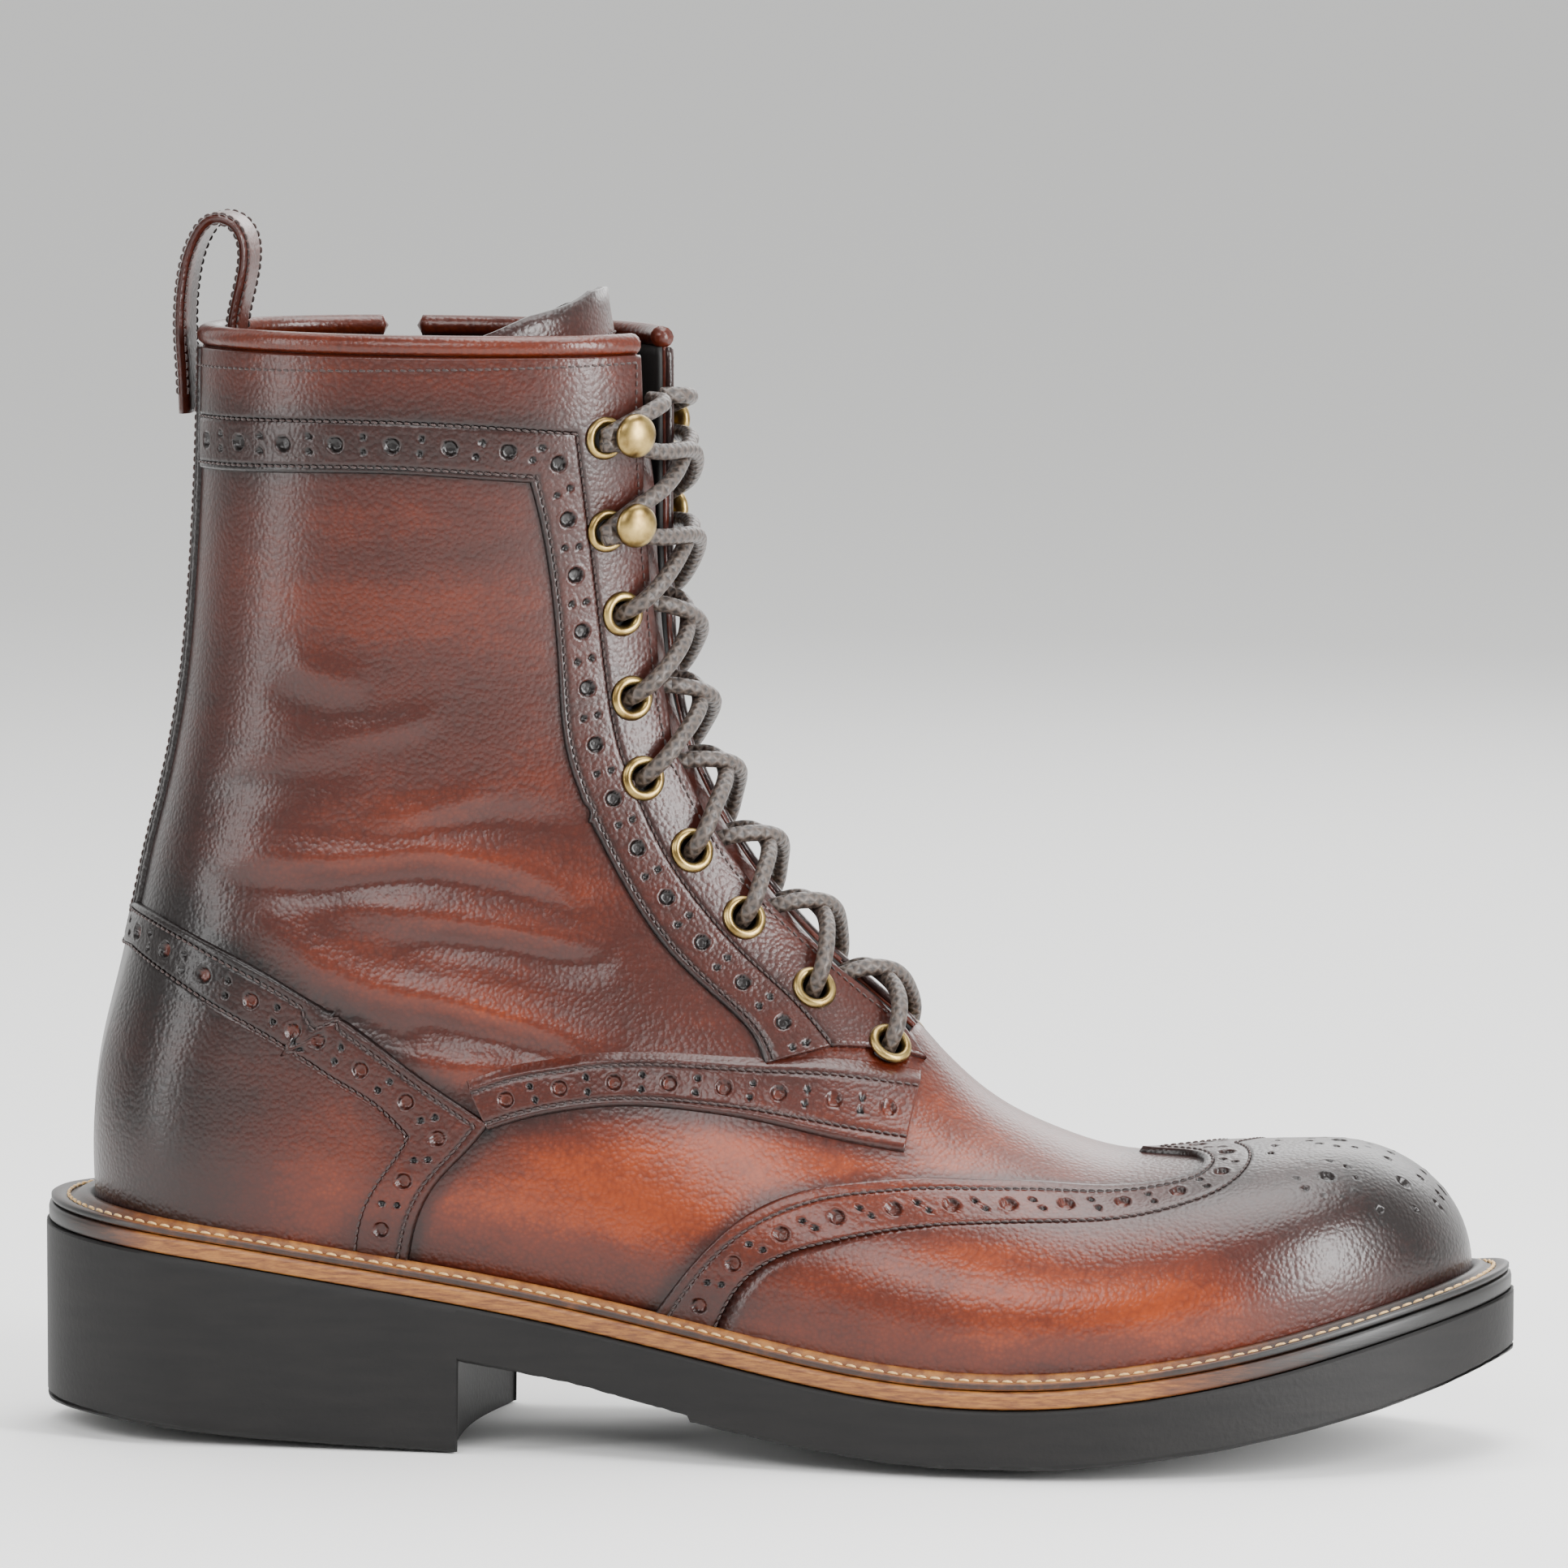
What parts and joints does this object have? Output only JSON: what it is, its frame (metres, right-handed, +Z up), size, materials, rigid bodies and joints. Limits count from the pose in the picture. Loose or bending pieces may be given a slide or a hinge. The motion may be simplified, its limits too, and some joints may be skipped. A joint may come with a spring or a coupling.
{
  "type": "lace up ankle boot",
  "caption": "Right brogue ankle boot in brown leather: wing toe cap, perforated bands, round laces through eyelets and hooks, inner side zip, pull loop, rubber sole with heel.",
  "frame": {"origin": "middle of the box on the ground, under the boot", "axes": "+X from heel to toe, +Z up, -Y the outer side of a right boot"},
  "size_m": [0.309, 0.1068, 0.2546],
  "materials": {
    "calf_leather": "antiqued, semi-gloss",
    "dark_calf_leather": "burnished, semi-gloss",
    "welt_leather": "waxed",
    "lining": "matt",
    "black_rubber": "matt",
    "antique_brass": "antiqued",
    "waxed_cord": "waxed",
    "zip_tape": "woven",
    "zip_metal": "satin"
  },
  "bodies": {
    "boot": {"upper": "calf_leather", "tongue": "calf_leather", "wing_cap": "calf_leather", "heel_counter": "calf_leather", "facing_lateral": "calf_leather", "facing_medial": "calf_leather", "collar_binding_rear": "calf_leather", "collar_binding_front": "calf_leather", "backstay": "dark_calf_leather", "cuff_band_lateral": "dark_calf_leather", "cuff_band_medial_rear": "dark_calf_leather", "cuff_band_medial_front": "dark_calf_leather", "quarter_band_lateral": "dark_calf_leather", "quarter_band_medial": "dark_calf_leather", "pull_loop": "dark_calf_leather", "outsole": "black_rubber", "midsole": "welt_leather", "welt": "welt_leather", "insole": "lining", "eyelet_lateral_1": "antique_brass", "eyelet_lateral_2": "antique_brass", "eyelet_lateral_3": "antique_brass", "eyelet_lateral_4": "antique_brass", "eyelet_lateral_5": "antique_brass", "eyelet_lateral_6": "antique_brass", "eyelet_lateral_7": "antique_brass", "hook_lateral_1": "antique_brass", "hook_lateral_2": "antique_brass", "eyelet_medial_1": "antique_brass", "eyelet_medial_2": "antique_brass", "eyelet_medial_3": "antique_brass", "eyelet_medial_4": "antique_brass", "eyelet_medial_5": "antique_brass", "eyelet_medial_6": "antique_brass", "eyelet_medial_7": "antique_brass", "hook_medial_1": "antique_brass", "hook_medial_2": "antique_brass", "lace_crossing_1": "waxed_cord", "lace_crossing_2": "waxed_cord", "lace_crossing_3": "waxed_cord", "lace_crossing_4": "waxed_cord", "lace_crossing_5": "waxed_cord", "lace_crossing_6": "waxed_cord", "lace_crossing_7": "waxed_cord", "lace_crossing_8": "waxed_cord", "lace_end_lateral": "waxed_cord", "lace_end_medial": "waxed_cord", "zip_tape": "zip_tape", "zip_slider": "zip_metal"},
    "zip_pull": {"zip_pull": "zip_metal"}
  },
  "joints": [
    {"name": "zip_pull_hinge", "type": "hinge", "parent": "boot", "child": "zip_pull", "pos_m": [-0.08521, 0.03798, 0.21895], "axis": [0.9832, 0.1824, -0.0022], "range_deg": [0, 150]}
  ]
}
